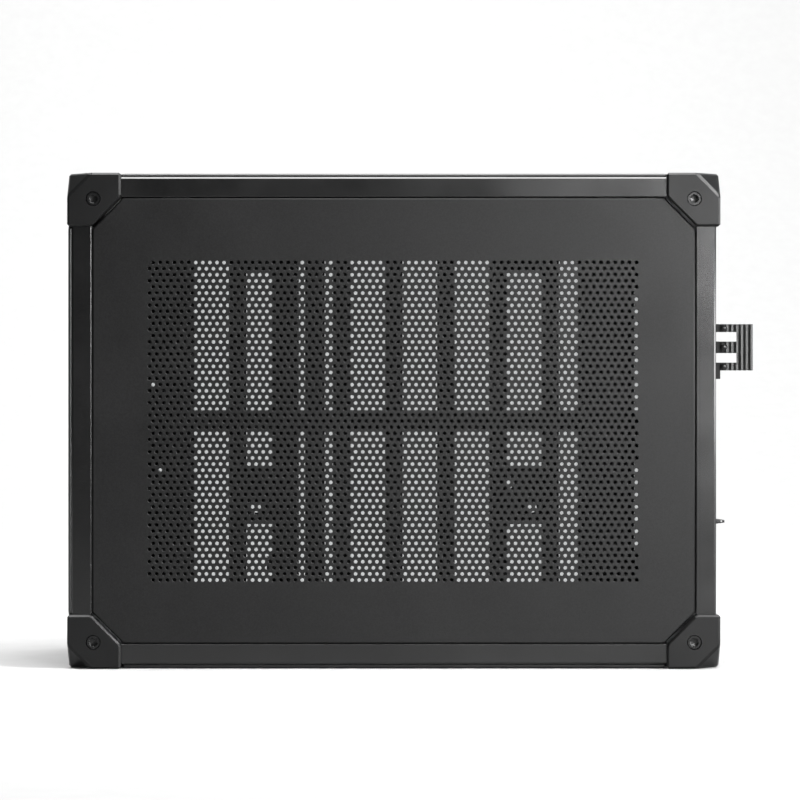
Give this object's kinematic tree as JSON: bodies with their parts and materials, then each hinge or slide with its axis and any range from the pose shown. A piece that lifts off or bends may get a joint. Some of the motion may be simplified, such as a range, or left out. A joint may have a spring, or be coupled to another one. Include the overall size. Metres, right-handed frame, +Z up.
{
  "type": "micro-atx computer case",
  "caption": "Low micro-ATX computer case: grooved aluminium rails joined by chunky corner blocks, a perforated pull-off side, a glass side, slotted board tray and recessed rear panel.",
  "frame": {"origin": "centre of the overall box's footprint, on the plane the corner blocks stand on", "axes": "+X towards the rear with the connectors, +Y towards the glass side, +Z up"},
  "size_m": [0.4098, 0.19, 0.296],
  "materials": {
    "frame_rails": "black anodised, fine matt",
    "corner_blocks": "black anodised, fine matt",
    "side_panel": "black anodised, fine matt",
    "side_glass": "clear",
    "skins": "black anodised, fine matt",
    "inner_sheet": "satin black",
    "black_plastic": "matt",
    "black_screws": "black oxide",
    "bright_steel": "satin",
    "standoffs": "turned",
    "button_metal": "turned, anodised"
  },
  "bodies": {
    "case": {"rail_right_bottom": "frame_rails", "rail_right_top": "frame_rails", "rail_left_bottom": "frame_rails", "rail_left_top": "frame_rails", "rail_front_bottom": "frame_rails", "rail_front_top": "frame_rails", "rail_rear_bottom": "frame_rails", "rail_rear_top": "frame_rails", "post_front_right": "frame_rails", "post_front_left": "frame_rails", "post_rear_right": "frame_rails", "post_rear_left": "frame_rails", "corner_front_right_bottom": "corner_blocks", "corner_front_right_top": "corner_blocks", "corner_front_left_bottom": "corner_blocks", "corner_front_left_top": "corner_blocks", "corner_rear_right_bottom": "corner_blocks", "corner_rear_right_top": "corner_blocks", "corner_rear_left_bottom": "corner_blocks", "corner_rear_left_top": "corner_blocks", "top_panel": "skins", "bottom_panel": "skins", "front_panel": "skins", "motherboard_tray": "inner_sheet", "board_strap": "inner_sheet", "tray_stiffener": "inner_sheet", "drive_plate_front": "inner_sheet", "drive_plate_rear": "inner_sheet", "drive_plate_front_upper": "inner_sheet", "drive_plate_rear_upper": "inner_sheet", "supply_bracket": "inner_sheet", "rear_panel": "inner_sheet", "slot_cover_1": "inner_sheet", "slot_cover_2": "inner_sheet", "slot_cover_3": "inner_sheet", "slot_cover_4": "inner_sheet", "cable_cover": "black_plastic", "cable_channel": "black_plastic", "right_clips": "black_plastic", "left_clips": "black_plastic", "front_module": "black_plastic", "power_inlet": "black_plastic", "cable_anchor": "black_plastic", "audio_jack": "black_plastic", "corner_screws": "black_screws", "slot_screws": "black_screws", "anchor_rivets": "black_screws", "usb_a_ports": "bright_steel", "usb_c_port": "bright_steel", "rear_eye": "bright_steel", "board_standoffs": "standoffs"},
    "right_side": {"right_panel": "side_panel", "right_studs": "bright_steel"},
    "left_side": {"left_glass": "side_glass", "left_studs": "bright_steel"},
    "button": {"power_button": "button_metal"}
  },
  "joints": [
    {"name": "right_panel_pull", "type": "slide", "parent": "case", "child": "right_side", "axis": [0, -1, 0], "range_m": [0, 0.06]},
    {"name": "left_panel_pull", "type": "slide", "parent": "case", "child": "left_side", "axis": [0, 1, 0], "range_m": [0, 0.06]},
    {"name": "power_button_press", "type": "slide", "parent": "case", "child": "button", "axis": [1, 0, 0], "range_m": [0, 0.0012], "stiffness_N_per_m": 600}
  ]
}
